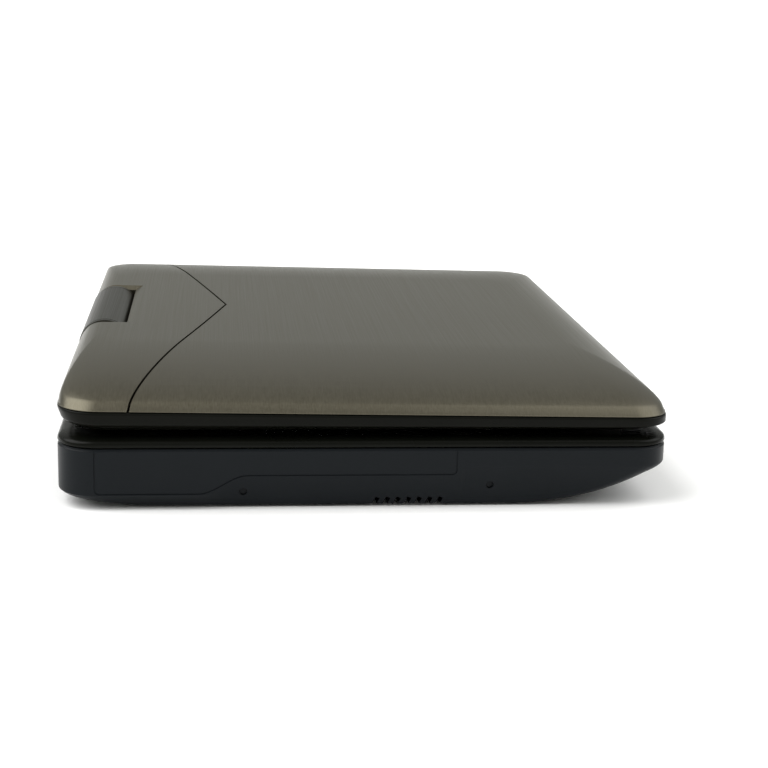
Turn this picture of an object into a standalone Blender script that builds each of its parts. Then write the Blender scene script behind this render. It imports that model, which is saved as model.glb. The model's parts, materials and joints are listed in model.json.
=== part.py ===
"""Portable DVD player with a swivel screen, shown closed.

Frame: +X is the user's right, +Y the back (hinge side), +Z up.  The origin is the middle
of the footprint, on the surface that the feet stand on.  Lengths are in metres.
"""

import math

import bmesh
import bpy
from mathutils import Vector

MM = 0.001

# Overall size
LENGTH = 245 * MM
WIDTH = 190 * MM
HALF_L = LENGTH / 2
HALF_W = WIDTH / 2
CORNER_REAR = 12 * MM
CORNER_FRONT = 11 * MM
GAP = 0.3 * MM

# Base: heights above the table
FOOT_H = 0.6 * MM
HULL_Z = FOOT_H + GAP
WALL = 1.8 * MM
SEAM_Z = 19.4 * MM
DECK_Z = 22.5 * MM
DECK_IN_Z = DECK_Z - WALL
HULL_CREASE = 12.4 * MM
HULL_TUCK = 2.8 * MM
PANEL_FOOT_REAR = 3.8 * MM
PANEL_FOOT_FRONT = 9.6 * MM
PANEL_STEP_REAR = 43 * MM
PANEL_STEP_LENGTH = 15 * MM
PANEL_FRONT = 123.2 * MM
FRONT_SWEEP_R = 68 * MM
FRONT_SWEEP = 38.6 * MM
REAR_SWEEP_R = 51 * MM
REAR_SWEEP = 17 * MM

# Hinge: the swivel and tilt axes cross at this point
HINGE_Y = HALF_W - 9.35 * MM
HINGE_Z = 32.0 * MM
ROUND_R = 9.3 * MM
BARREL_R = 9.0 * MM
BARREL_IN_R = 6.5 * MM
BARREL_HALF = 33.7 * MM
SHAFT_R = 3 * MM
POST_R = 5.5 * MM

# Lid: heights above the table, along the lid from its rear edge to its front edge
BEZEL_Z = 24.2 * MM
RIM_LOW_REAR = 25.8 * MM
RIM_LOW_FRONT = 25.1 * MM
RIM_TOP_REAR = 30.9 * MM
RIM_TOP_FRONT = 28.6 * MM
LID_TOP_REAR = 41.0 * MM
LID_TOP_FRONT = 38.6 * MM
DOME_SIDE = 60 * MM
DOME_FRONT = 22.5 * MM
COVER_WALL = 1.6 * MM
FRAME_WALL = 3 * MM
NOTCH_HALF = 34.2 * MM
NOTCH_DEPTH = 18.9 * MM
NOTCH_LIP = 17.0 * MM
NOTCH_LIP_Z = 39.3 * MM
NOTCH_FLARE_FRONT = 3.2 * MM
NOTCH_FLARE_SIDE = 2.0 * MM
NOTCH_FLARE_Z = 41.0 * MM
CHEVRON_TIP = 51.9 * MM
CHEVRON_SLOPE = 0.216
CHEVRON_CURVE = 0.23 / (1000 * MM)
CHEVRON_GAP = 0.6 * MM

# Disc drive, door and screen
DISC_Y = -2 * MM
DOOR_X = 139.2 * MM
DOOR_Y = 137.2 * MM
DOOR_TOP = 22.8 * MM
RAIL_Y = (-20 * MM, 20 * MM)
RAIL_Z = 9 * MM
RAIL_R = 1.5 * MM
SCREW_Y = 30 * MM
SLED_HOME_X = 22.5 * MM
SCREEN_Y = -10.5 * MM
KEY_TOP = 23.2 * MM
BUMPER_TOP = 23.9 * MM

# Where the keys, ports, screws and speakers are: x, y and z as each needs
SCREW_SPOTS = [(sx * x * MM, y * MM) for sx in (-1, 1) for x, y in ((66, 80), (80, -58))]
SPEAKER_SPOTS = [(sx * 94 * MM, -14.5 * MM) for sx in (-1, 1)]
KEYS = {
    "key_up": (96 * MM, 34 * MM, 5 * MM, 3.2 * MM),
    "key_down": (96 * MM, 6 * MM, 5 * MM, 3.2 * MM),
    "key_left": (82.5 * MM, 20 * MM, 3.2 * MM, 5 * MM),
    "key_right": (109.5 * MM, 20 * MM, 3.2 * MM, 5 * MM),
    "key_enter": (96 * MM, 20 * MM, 4.6 * MM, 4.6 * MM),
    "key_play": (96 * MM, -8 * MM, 7 * MM, 3.5 * MM),
    "key_stop": (96 * MM, -20 * MM, 7 * MM, 3.5 * MM),
    "key_menu": (96 * MM, -32 * MM, 7 * MM, 3.5 * MM),
    "door_button": (0, -81 * MM, 10 * MM, 3.5 * MM),
}
JACK_SPOTS = {
    "dc_jack": (70 * MM, 12.5 * MM, 3 * MM),
    "headphone_jack": (52 * MM, 12.5 * MM, 2.9 * MM),
    "av_jack": (34 * MM, 12.5 * MM, 2.9 * MM),
}
USB_Y, CARD_Y, SWITCH_Y, WHEEL_Y = 12 * MM, -14 * MM, -66 * MM, -46 * MM
PORT_CUTS = [
    ((HALF_L - 5 * MM, USB_Y - 7.6 * MM, 9.1 * MM), (HALF_L + 2 * MM, USB_Y + 7.6 * MM, 16.1 * MM)),
    ((HALF_L - 5 * MM, CARD_Y - 13.1 * MM, 11.3 * MM), (HALF_L + 2 * MM, CARD_Y + 13.1 * MM, 14.9 * MM)),
    ((HALF_L - 5 * MM, SWITCH_Y - 6.5 * MM, 14.7 * MM), (HALF_L + 2 * MM, SWITCH_Y + 6.5 * MM, 17.9 * MM)),
    ((HALF_L - 5 * MM, WHEEL_Y - 5.6 * MM, 14.5 * MM), (HALF_L + 2 * MM, WHEEL_Y + 5.6 * MM, 18.3 * MM)),
    ((-60 * MM, -HALF_W - 2 * MM, 14.6 * MM), (-44 * MM, -HALF_W + 5 * MM, 18.2 * MM)),
]

SCENE = bpy.context.scene
for old in list(bpy.data.objects):
    bpy.data.objects.remove(old)
PLAYER = bpy.data.collections.new("portable_dvd_player")
CUTTERS = bpy.data.collections.new("cutters")
SCENE.collection.children.link(PLAYER)
SCENE.collection.children.link(CUTTERS)


# ---------------------------------------------------------------- helpers

def material(name, colour, roughness, metallic=0.0):
    """A plain Principled material."""
    made = bpy.data.materials.new(name)
    made.use_nodes = True
    shader = made.node_tree.nodes["Principled BSDF"]
    shader.inputs["Base Color"].default_value = (*colour, 1)
    shader.inputs["Roughness"].default_value = roughness
    shader.inputs["Metallic"].default_value = metallic
    return made


BRONZE = material("bronze_finish", (0.16, 0.13, 0.10), 0.35, 0.8)
RIM_BLACK = material("rim_black", (0.02, 0.02, 0.02), 0.35)
GLOSS_BLACK = material("gloss_black", (0.012, 0.012, 0.012), 0.12)
SATIN_BLACK = material("satin_black", (0.025, 0.026, 0.03), 0.4)
KEY_GREY = material("key_grey", (0.10, 0.10, 0.11), 0.45)
RUBBER = material("rubber_black", (0.02, 0.02, 0.02), 0.9)
STEEL = material("steel", (0.55, 0.55, 0.56), 0.3, 1.0)
BOARD = material("board_green", (0.02, 0.16, 0.07), 0.5)
WRAP = material("battery_wrap", (0.03, 0.08, 0.25), 0.4)
SCREEN = material("screen_black", (0.008, 0.009, 0.012), 0.08)
INNER = material("inner_plastic", (0.06, 0.06, 0.06), 0.6)
OPTIC = material("lens_blue", (0.15, 0.2, 0.45), 0.05)
SMOKED = material("smoked_window", (0.05, 0.008, 0.008), 0.1)


def finish_mesh(name, builder, surface, collection=PLAYER):
    """Turns a bmesh into a named object with outward faces and smooth round faces."""
    bmesh.ops.recalc_face_normals(builder, faces=builder.faces)
    mesh = bpy.data.meshes.new(name)
    builder.to_mesh(mesh)
    builder.free()
    mesh.shade_smooth()
    mesh.set_sharp_from_angle(angle=math.radians(35))
    made = bpy.data.objects.new(name, mesh)
    if surface:
        mesh.materials.append(surface)
    collection.objects.link(made)
    return made


def loft(name, rings, surface=None, collection=PLAYER):
    """Joins rings of equal length into one closed skin."""
    builder = bmesh.new()
    rows = [[builder.verts.new(point) for point in ring] for ring in rings]
    count = len(rows[0])
    for low, high in zip(rows, rows[1:]):
        for i in range(count):
            j = (i + 1) % count
            builder.faces.new((low[i], low[j], high[j], high[i]))
    builder.faces.new(list(reversed(rows[0])))
    builder.faces.new(rows[-1])
    return finish_mesh(name, builder, surface, collection)


def box(name, low, high, surface=None, collection=PLAYER, bevel=0.0):
    """A box between two corners, its origin at its middle, with bevelled edges if asked."""
    low, high = Vector(low), Vector(high)
    builder = bmesh.new()
    bmesh.ops.create_cube(builder, size=1)
    bmesh.ops.scale(builder, vec=high - low, verts=builder.verts)
    made = finish_mesh(name, builder, surface, collection)
    made.location = (low + high) / 2
    if bevel:
        add_bevel(made, bevel)
    return made


def rod(name, start, end, radius, surface=None, collection=PLAYER, sides=24):
    """A cylinder from start to end, its origin at its middle."""
    start, end = Vector(start), Vector(end)
    builder = bmesh.new()
    bmesh.ops.create_cone(builder, cap_ends=True, segments=sides, radius1=radius,
                          radius2=radius, depth=(end - start).length)
    made = finish_mesh(name, builder, surface, collection)
    made.location = (start + end) / 2
    made.rotation_euler = (end - start).to_track_quat("Z", "Y").to_euler()
    return made


def turned(name, profile, centre, surface, sides=32):
    """A solid turned about the vertical through centre; profile is a closed outline of
    (radius, height) points that starts at the top of its outer side and runs down."""
    builder = bmesh.new()
    points = [builder.verts.new((radius, 0, height)) for radius, height in profile]
    for a, b in zip(points, points[1:] + points[:1]):
        if not (a.co.x == 0 and b.co.x == 0):
            builder.edges.new((a, b))
    mesh = bpy.data.meshes.new(name)
    builder.to_mesh(mesh)
    builder.free()
    mesh.materials.append(surface)
    made = bpy.data.objects.new(name, mesh)
    PLAYER.objects.link(made)
    made.location = centre
    screw = made.modifiers.new("turn", "SCREW")
    screw.steps = screw.render_steps = sides
    screw.use_merge_vertices = True
    screw.merge_threshold = 0.00001
    screw.use_normal_calculate = False
    screw.use_smooth_shade = True
    return made


def add_bevel(target, width, segments=2):
    """Rounds the edges of target that are sharper than 40 degrees."""
    bevel = target.modifiers.new("bevel", "BEVEL")
    bevel.width = width
    bevel.segments = segments
    bevel.limit_method = "ANGLE"
    bevel.angle_limit = math.radians(40)
    return target


def boolean(target, tool, operation="DIFFERENCE"):
    """Applies tool to target with an exact Boolean, and hides the tool."""
    change = target.modifiers.new(operation.lower(), "BOOLEAN")
    change.operation = operation
    change.solver = "EXACT"
    change.object = tool
    tool.hide_render = True
    tool.display_type = "WIRE"
    return target


def cut_box(target, low, high):
    """Cuts a box out of target."""
    boolean(target, box(target.name + "_cut", low, high, collection=CUTTERS))


def cut_rod(target, start, end, radius, sides=24):
    """Cuts a round hole out of target."""
    boolean(target, rod(target.name + "_bore", start, end, radius, collection=CUTTERS, sides=sides))


def add_box(target, low, high):
    """Joins a box to target."""
    boolean(target, box(target.name + "_add", low, high, collection=CUTTERS), "UNION")


def add_rod(target, start, end, radius, sides=24):
    """Joins a cylinder to target."""
    boolean(target, rod(target.name + "_stub", start, end, radius, collection=CUTTERS, sides=sides),
            "UNION")


def hang(children, empty):
    """Parents children to an empty on their joint's axis, where they are."""
    for child in children:
        child.parent = empty
        child.matrix_parent_inverse = empty.matrix_world.inverted()


def pivot(name, place, parent=None):
    """An empty that stands on a joint's axis."""
    made = bpy.data.objects.new(name, None)
    made.empty_display_size = 0.01
    made.location = place
    PLAYER.objects.link(made)
    if parent:
        bpy.context.view_layer.update()
        made.parent = parent
        made.matrix_parent_inverse = parent.matrix_world.inverted()
    bpy.context.view_layer.update()
    return made


# ---------------------------------------------------------------- outlines

def along_lid(rear, front, y):
    """A height that changes evenly from the rear edge to the front edge."""
    return rear + (front - rear) * (HALF_W - y) / WIDTH


def outline(side, front, rear, height, side_stations=(), steps=5, radii=(CORNER_FRONT, CORNER_REAR)):
    """One rounded rectangle inside the footprint, anticlockwise from the front right corner.

    side, front and rear are the insets of its edges, and height is a number or a function of y.
    side_stations are extra points along its two long-way sides."""
    x = HALF_L - side
    y_front, y_rear = -HALF_W + front, HALF_W - rear
    corners = ((1, -1, radii[0], -90), (1, 1, radii[1], 0), (-1, 1, radii[1], 90), (-1, -1, radii[0], 180))
    points = []
    for number, (sx, sy, radius, start) in enumerate(corners):
        cx = sx * (x - radius)
        cy = y_front + radius if sy < 0 else y_rear - radius
        for step in range(steps + 1):
            angle = math.radians(start + 90 * step / steps)
            points.append((cx + radius * math.cos(angle), cy + radius * math.sin(angle)))
        if number == 0:
            points += [(x, y) for y in side_stations]
        if number == 2:
            points += [(-x, y) for y in reversed(side_stations)]
    at = height if callable(height) else (lambda y: height)
    return [(px, py, at(py)) for px, py in points]


def front_inset(h):
    """How far the hull's front is swept in, h above its bottom."""
    knee = 9.3 * MM
    if h <= knee:
        return FRONT_SWEEP - math.sqrt(FRONT_SWEEP_R ** 2 - (FRONT_SWEEP_R - h) ** 2)
    share = max(0.0, 1 - (h - knee) / (HULL_CREASE - knee))
    return front_inset(knee) * share ** 1.6


def rear_inset(h):
    """How far the hull's rear is swept in, h above its bottom."""
    knee, top = 2.2 * MM, 4.2 * MM
    if h <= knee:
        return REAR_SWEEP - math.sqrt(REAR_SWEEP_R ** 2 - (REAR_SWEEP_R - h) ** 2)
    share = max(0.0, 1 - (h - knee) / (top - knee))
    return rear_inset(knee) * share ** 1.8


def wall_foot(y):
    """Height above the hull's bottom where the upright side wall ends, at this y.

    Low at the rear, it steps up in an S and again ahead of the side panel."""
    from_rear = HALF_W - y
    first = smooth((from_rear - PANEL_STEP_REAR) / PANEL_STEP_LENGTH)
    second = smooth((from_rear - PANEL_FRONT) / (2 * MM))
    return (PANEL_FOOT_REAR + (PANEL_FOOT_FRONT - PANEL_FOOT_REAR) * first
            + (HULL_CREASE - PANEL_FOOT_FRONT) * second)


def smooth(t):
    """An S-shaped step from 0 to 1."""
    t = min(1.0, max(0.0, t))
    return t * t * (3 - 2 * t)


def hull_ring(h, wall=0.0):
    """The hull's outline h above its bottom, with the leaning sides, inset all round by wall."""
    stations = [HALF_W - PANEL_FRONT - d * MM for d in (2, 0)]
    stations += [HALF_W - PANEL_STEP_REAR - PANEL_STEP_LENGTH * share for share in (1, 0.8, 0.6, 0.4, 0.2, 0)]
    ring = outline(wall, front_inset(h) + wall, rear_inset(h) + wall, HULL_Z + h, stations)
    leaned = []
    for x, y, z in ring:
        inset = HULL_TUCK * max(0.0, 1 - h / wall_foot(y))
        leaned.append((x - math.copysign(inset, x), y, z))
    return leaned


def cavity_ring(h):
    """The inside of the hull: its outline raised and inset by the wall."""
    return [(x, y, z + WALL) for x, y, z in hull_ring(h, WALL)]


# ---------------------------------------------------------------- base shells

def make_lower_case():
    """The hull: swept-in front and rear, leaning sides, open at the top."""
    heights = [h * MM for h in (0, 0.9, 2.2, 3.8, 5.8, 7.7, 9.6, 11, 12.4)]
    top = SEAM_Z - GAP / 2 - HULL_Z
    case = loft("lower_case", [hull_ring(h) for h in heights + [top]], SATIN_BLACK)
    boolean(case, loft("lower_case_inside", [cavity_ring(h) for h in heights + [top]], None, CUTTERS))
    for x, y in SCREW_SPOTS:
        add_rod(case, (x, y, HULL_Z + 1 * MM), (x, y, HULL_Z + 6.1 * MM), 4.6 * MM, 16)
        cut_rod(case, (x, y, 0), (x, y, HULL_Z + 3.3 * MM), 3.3 * MM, 16)
        cut_rod(case, (x, y, 0), (x, y, 9 * MM), 1.6 * MM, 12)
    for low, high in PORT_CUTS:
        cut_box(case, low, high)
    for y, z, radius in JACK_SPOTS.values():
        cut_rod(case, (HALF_L - 4 * MM, y, z), (HALF_L + 2 * MM, y, z), radius + GAP, 20)
    for x, y in SPEAKER_SPOTS:
        for number in range(7):
            slot_y = y + (number - 3) * 3.3 * MM
            side = math.copysign(1, x)
            low_x = side * (HALF_L - 14 * MM)
            high_x = side * (HALF_L - 2 * MM)
            cut_box(case, (min(low_x, high_x), slot_y - 0.7 * MM, 0),
                    (max(low_x, high_x), slot_y + 0.7 * MM, HULL_Z + 2.6 * MM))
    return case


def make_upper_case():
    """The deck with its rounded shoulder, the door opening and the holes for the keys."""
    profile = ((0.5, 19.55), (0, 20.1), (0, 20.4), (0.7, 21.3), (1.7, 22.0), (3.0, 22.35), (4.6, 22.5))
    rings = [outline(i * MM, i * MM, i * MM, z * MM) for i, z in reversed(profile)]
    case = loft("upper_case", rings, GLOSS_BLACK)
    inside = [outline(i * MM, i * MM, i * MM, z * MM) for i, z in ((1.8, 18), (1.8, 19.9), (2.8, 20.7))]
    boolean(case, loft("upper_case_inside", inside, None, CUTTERS))
    margin = 0.4 * MM
    cut_box(case, (-DOOR_X / 2 - margin, DISC_Y - DOOR_Y / 2 - margin, 15 * MM),
            (DOOR_X / 2 + margin, DISC_Y + DOOR_Y / 2 + margin, 30 * MM))
    cut_rod(case, (0, HINGE_Y, 15 * MM), (0, HINGE_Y, 30 * MM), POST_R + GAP)
    for x, y, half_x, half_y in KEYS.values():
        cut_box(case, (x - half_x - GAP, y - half_y - GAP, 15 * MM),
                (x + half_x + GAP, y + half_y + GAP, 30 * MM))
    return case


def make_door():
    """The disc door, with two knuckles on a pin under its rear edge."""
    rear = DISC_Y + DOOR_Y / 2
    door = box("disc_door", (-DOOR_X / 2, DISC_Y - DOOR_Y / 2, DECK_IN_Z + 0.2 * MM),
               (DOOR_X / 2, rear, DOOR_TOP), GLOSS_BLACK)
    pin_y, pin_z, knuckle = rear - 2.4 * MM, 18.9 * MM, 2.2 * MM
    for side in (-1, 1):
        x = side * 45 * MM
        add_box(door, (x - 5 * MM, pin_y - knuckle, pin_z - knuckle),
                (x + 5 * MM, pin_y + knuckle, DECK_IN_Z + 0.6 * MM))
    cut_rod(door, (-60 * MM, pin_y, pin_z), (60 * MM, pin_y, pin_z), 1.5 * MM, 12)
    rod("door_hinge_pin", (-54 * MM, pin_y, pin_z), (54 * MM, pin_y, pin_z), 1.2 * MM, STEEL, sides=12)


# ---------------------------------------------------------------- deck controls and ports

def make_keys():
    """Each key is a cap with a wider flange below the deck, and slides in its hole."""
    for name, (x, y, half_x, half_y) in KEYS.items():
        flange = 1 * MM
        rings = []
        for grow, z in ((flange, 18), (flange, 20.2), (0, 20.2), (0, 22.8), (-0.4 * MM, KEY_TOP / MM)):
            hx, hy = half_x + grow, half_y + grow
            rings.append([(hx, -hy, z * MM - DECK_Z), (hx, hy, z * MM - DECK_Z),
                          (-hx, hy, z * MM - DECK_Z), (-hx, -hy, z * MM - DECK_Z)])
        key = loft(name, rings, KEY_GREY)
        key.location = (x, y, DECK_Z)


def make_ports():
    """Jacks, the USB and card sockets, the power switch, the volume wheel and the windows."""
    for name, (y, z, radius) in JACK_SPOTS.items():
        jack = rod(name, (HALF_L - 13 * MM, y, z), (HALF_L - 0.2 * MM, y, z), radius, STEEL, sides=20)
        cut_rod(jack, (HALF_L - 11 * MM, y, z), (HALF_L + 2 * MM, y, z), radius * 0.62, 16)
    usb = box("usb_port", (HALF_L - 13 * MM, USB_Y - 7.3 * MM, 9.4 * MM),
              (HALF_L - 0.2 * MM, USB_Y + 7.3 * MM, 15.8 * MM), STEEL)
    cut_box(usb, (HALF_L - 12 * MM, USB_Y - 6.4 * MM, 10.2 * MM),
            (HALF_L + 2 * MM, USB_Y + 6.4 * MM, 15 * MM))
    card = box("card_slot", (HALF_L - 24 * MM, CARD_Y - 12.8 * MM, 11.6 * MM),
               (HALF_L - 0.2 * MM, CARD_Y + 12.8 * MM, 14.6 * MM), INNER)
    cut_box(card, (HALF_L - 22 * MM, CARD_Y - 12 * MM, 12 * MM),
            (HALF_L + 2 * MM, CARD_Y + 12 * MM, 14.2 * MM))
    box("power_switch", (HALF_L - 6 * MM, SWITCH_Y - 1.9 * MM, 15 * MM),
        (HALF_L - 0.1 * MM, SWITCH_Y + 5.9 * MM, 17.6 * MM), KEY_GREY)
    rod("volume_wheel", (HALF_L - 7.2 * MM, WHEEL_Y, 15 * MM), (HALF_L - 7.2 * MM, WHEEL_Y, 17.8 * MM),
        7 * MM, KEY_GREY, sides=32)
    box("ir_window", (-59.7 * MM, -HALF_W + 0.15 * MM, 14.9 * MM),
        (-44.3 * MM, -HALF_W + 3 * MM, 17.9 * MM), SMOKED)


# ---------------------------------------------------------------- inside the base

def make_drive():
    """The disc tray, spindle, optical pickup and its rails, screw and motor, on a chassis."""
    tray = turned("disc_tray", [(r * MM, z * MM) for r, z in
                                ((64, 20.2), (64, 15), (12, 15), (12, 16.2), (62.4, 16.2), (62.4, 20.2))],
                  (0, DISC_Y, 0), INNER, 48)
    cut_box(tray, (15 * MM, DISC_Y - 9 * MM, 10 * MM), (61 * MM, DISC_Y + 9 * MM, 18 * MM))
    turned("spindle_motor", [(r * MM, z * MM) for r, z in
                             ((5, 13), (5, 12), (13, 12), (13, 5.4), (0, 5.4), (0, 13))],
           (0, DISC_Y, 0), STEEL, 24)
    turned("disc_hub", [(r * MM, z * MM) for r, z in
                        ((5.6, 19.4), (7.3, 17.6), (7.3, 17.2), (10.5, 17.2), (10.5, 16.4),
                         (3, 16.4), (3, 13.3), (0, 13.3), (0, 19.4))],
           (0, DISC_Y, 0), KEY_GREY, 24)
    chassis = box("drive_chassis", (-46 * MM, DISC_Y - 40 * MM, 3.8 * MM),
                  (70 * MM, DISC_Y + 42 * MM, 5.1 * MM), STEEL)
    cut_box(chassis, (18 * MM, DISC_Y - 14 * MM, 0), (60 * MM, DISC_Y + 14 * MM, 6 * MM))
    for x in (11.8 * MM, 68 * MM):
        for y in (*RAIL_Y, SCREW_Y):
            if y == SCREW_Y and x < 20 * MM:
                continue
            add_box(chassis, (x - 1.4 * MM, DISC_Y + y - 2.5 * MM, 4.5 * MM),
                    (x + 1.4 * MM, DISC_Y + y + 2.5 * MM, 12 * MM))
    for name, y in zip(("guide_rail_front", "guide_rail_rear"), RAIL_Y):
        rod(name, (13.5 * MM, DISC_Y + y, RAIL_Z), (66.3 * MM, DISC_Y + y, RAIL_Z), RAIL_R, STEEL, sides=12)
    rod("lead_screw", (-1.5 * MM, DISC_Y + SCREW_Y, RAIL_Z), (66.3 * MM, DISC_Y + SCREW_Y, RAIL_Z),
        RAIL_R, STEEL, sides=12)
    rod("sled_motor", (-22 * MM, DISC_Y + SCREW_Y, RAIL_Z), (-2 * MM, DISC_Y + SCREW_Y, RAIL_Z),
        3.6 * MM, STEEL, sides=20)
    sled = box("pickup_sled", (SLED_HOME_X - 7.5 * MM, DISC_Y - 24 * MM, 6 * MM),
               (SLED_HOME_X + 7.5 * MM, DISC_Y + 33.5 * MM, 12.2 * MM), INNER)
    for y in (*RAIL_Y, SCREW_Y):
        cut_rod(sled, (0, DISC_Y + y, RAIL_Z), (80 * MM, DISC_Y + y, RAIL_Z), RAIL_R + 0.35 * MM, 12)
    turned("pickup_lens", [(r * MM, z * MM) for r, z in
                           ((2.2, 15.3), (3.5, 14.6), (3.5, 12.5), (0, 12.5), (0, 15.3))],
           (SLED_HOME_X, DISC_Y, 0), OPTIC, 20)


def make_electronics():
    """Boards, the battery and the two speakers."""
    box("main_board", (72 * MM, 2.5 * MM, 6 * MM), (114 * MM, 84 * MM, 7.6 * MM), BOARD)
    box("key_board", (76 * MM, -37 * MM, 16 * MM), (114 * MM, 42 * MM, 17.2 * MM), BOARD)
    box("battery_pack", (-114 * MM, 8 * MM, 4.4 * MM), (-72 * MM, 84 * MM, 17 * MM), WRAP, bevel=2 * MM)
    for name, (x, y) in zip(("speaker_left", "speaker_right"), SPEAKER_SPOTS):
        turned(name, [(r * MM, z * MM) for r, z in
                      ((6, 10.6), (13, 9), (14, 5.6), (14, 4.4), (0, 4.4), (0, 10.6))],
               (x, y, 0), INNER, 24)


def make_fasteners_and_feet():
    """Four case screws, four rubber feet and two bumpers on the deck."""
    for number, (x, y) in enumerate(SCREW_SPOTS, 1):
        turned(f"case_screw_{number}", [(r * MM, z * MM) for r, z in
                                        ((1.2, 15), (1.2, 3.8), (2.9, 3.8), (2.9, 2), (0, 2), (0, 15))],
               (x, y, 0), STEEL, 12)
    radius = 6 * MM
    spots = {"foot_rear_left": (-100, 74), "foot_rear_right": (100, 74),
             "foot_front_left": (-100, -72), "foot_front_right": (100, -72)}
    for name, (x, y) in spots.items():
        rings = []
        for low in (True, False):
            ring = []
            for step in range(20):
                angle = math.tau * step / 20
                py = y * MM + radius * math.sin(angle)
                top = hull_bottom(py) - GAP
                ring.append((radius * math.cos(angle), radius * math.sin(angle), 0 if low else top))
            rings.append(ring)
        foot = loft(name, rings, RUBBER)
        foot.location = (x * MM, y * MM, 0)
    for name, side in (("deck_bumper_left", -1), ("deck_bumper_right", 1)):
        turned(name, [(r * MM, z * MM) for r, z in
                      ((2.6, BUMPER_TOP / MM), (3.2, 23.4), (3.2, 22.8), (0, 22.8), (0, BUMPER_TOP / MM))],
               (side * 112 * MM, -84 * MM, 0), RUBBER, 16)


def hull_bottom(y):
    """Height of the hull's underside at this y, away from its sides."""
    reach = max(0.0, FRONT_SWEEP - (y + HALF_W))
    return HULL_Z + FRONT_SWEEP_R - math.sqrt(FRONT_SWEEP_R ** 2 - reach ** 2)


# ---------------------------------------------------------------- hinge

def make_hinge():
    """The barrel, post and sleeves turn with the swivel; the shaft turns with the lid."""
    centre = (0, HINGE_Y, HINGE_Z)
    ends = [(x, HINGE_Y, HINGE_Z) for x in (-BARREL_HALF, BARREL_HALF)]
    barrel = rod("hinge_barrel", *ends, BARREL_R, BRONZE, sides=48)
    cut_rod(barrel, (-40 * MM, HINGE_Y, HINGE_Z), (40 * MM, HINGE_Y, HINGE_Z), BARREL_IN_R, 32)
    cut_rod(barrel, (0, HINGE_Y, 20 * MM), (0, HINGE_Y, HINGE_Z), POST_R + GAP)
    post = turned("swivel_post", [(r * MM, z * MM) for r, z in
                                  ((5.5, 27.9), (5.5, 18.3), (6.3, 18.3), (6.3, 16.4),
                                   (5.5, 16.4), (5.5, 12), (2.5, 12), (2.5, 27.9))],
                  (0, HINGE_Y, 0), STEEL, 24)
    plate = box("swivel_plate", (-28 * MM, HINGE_Y - 9 * MM, 18.7 * MM),
                (28 * MM, HINGE_Y + 6.2 * MM, 20.4 * MM), STEEL)
    cut_rod(plate, (0, HINGE_Y, 10 * MM), (0, HINGE_Y, 30 * MM), POST_R + GAP)
    sleeves = []
    for name, side in (("friction_sleeve_left", -1), ("friction_sleeve_right", 1)):
        near, far = side * 8 * MM, side * 33 * MM
        sleeve = rod(name, (near, HINGE_Y, HINGE_Z), (far, HINGE_Y, HINGE_Z), 6.1 * MM, STEEL, sides=24)
        cut_rod(sleeve, (side * 4 * MM, HINGE_Y, HINGE_Z), (side * 40 * MM, HINGE_Y, HINGE_Z),
                SHAFT_R + 0.35 * MM, 20)
        sleeves.append(sleeve)
    swivel = pivot("swivel_axis", centre)
    tilt = pivot("tilt_axis", centre, swivel)
    hang([barrel, post, *sleeves], swivel)
    return tilt


def make_brackets():
    """The shaft and the two brackets that carry the lid on it."""
    pieces = [rod("tilt_shaft", (-56 * MM, HINGE_Y, HINGE_Z), (56 * MM, HINGE_Y, HINGE_Z), SHAFT_R, STEEL,
                  sides=20)]
    for name, side in (("hinge_bracket_left", -1), ("hinge_bracket_right", 1)):
        near, far, edge = (side * x * MM for x in (37, 52, 70))
        bracket = rod(name, (near, HINGE_Y, HINGE_Z), (far, HINGE_Y, HINGE_Z), 5.2 * MM, STEEL, sides=24)
        add_box(bracket, (min(near, edge), 40 * MM, 33.6 * MM), (max(near, edge), HINGE_Y - 2 * MM, 35.2 * MM))
        cut_rod(bracket, (side * 30 * MM, HINGE_Y, HINGE_Z), (side * 80 * MM, HINGE_Y, HINGE_Z),
                SHAFT_R + GAP, 20)
        pieces.append(bracket)
    return pieces


# ---------------------------------------------------------------- lid

def dome_rings(shrink):
    """Outlines of the domed cover from its foot to its flat top, inset and lowered by shrink."""
    rings = []
    for turn in (0, 12, 25, 40, 57, 74, 90):
        angle = math.radians(turn)
        rise, run = math.sin(angle), 1 - math.cos(angle)

        def height(y, rise=rise):
            foot = along_lid(RIM_TOP_REAR, RIM_TOP_FRONT, y) + GAP
            top = along_lid(LID_TOP_REAR, LID_TOP_FRONT, y) - shrink
            return foot + (top - foot) * rise

        margin = shrink + 0.5 * MM
        rings.append(outline(margin + DOME_SIDE * run, margin + DOME_FRONT * run,
                             margin * (1 - run) + (HALF_W - HINGE_Y + shrink * 0.4) * run, height))
    return rings


def notch_tool(name, grow):
    """The space around the hinge barrel at the lid's rear, widened by grow."""
    flared = NOTCH_LIP + NOTCH_FLARE_FRONT
    levels = ((NOTCH_DEPTH, 0, 20 * MM), (NOTCH_DEPTH, 0, HINGE_Z + 1.5 * MM), (NOTCH_LIP, 0, NOTCH_LIP_Z),
              (flared, NOTCH_FLARE_SIDE, NOTCH_FLARE_Z), (flared, NOTCH_FLARE_SIDE, 46 * MM))
    rings = []
    for depth, flare, z in levels:
        half = NOTCH_HALF + flare + grow
        y_front, y_rear = HALF_W - depth - grow, HALF_W + 5 * MM
        rings.append([(half, y_front, z), (half, y_rear, z), (-half, y_rear, z), (-half, y_front, z)])
    return loft(name, rings, None, CUTTERS)


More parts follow.
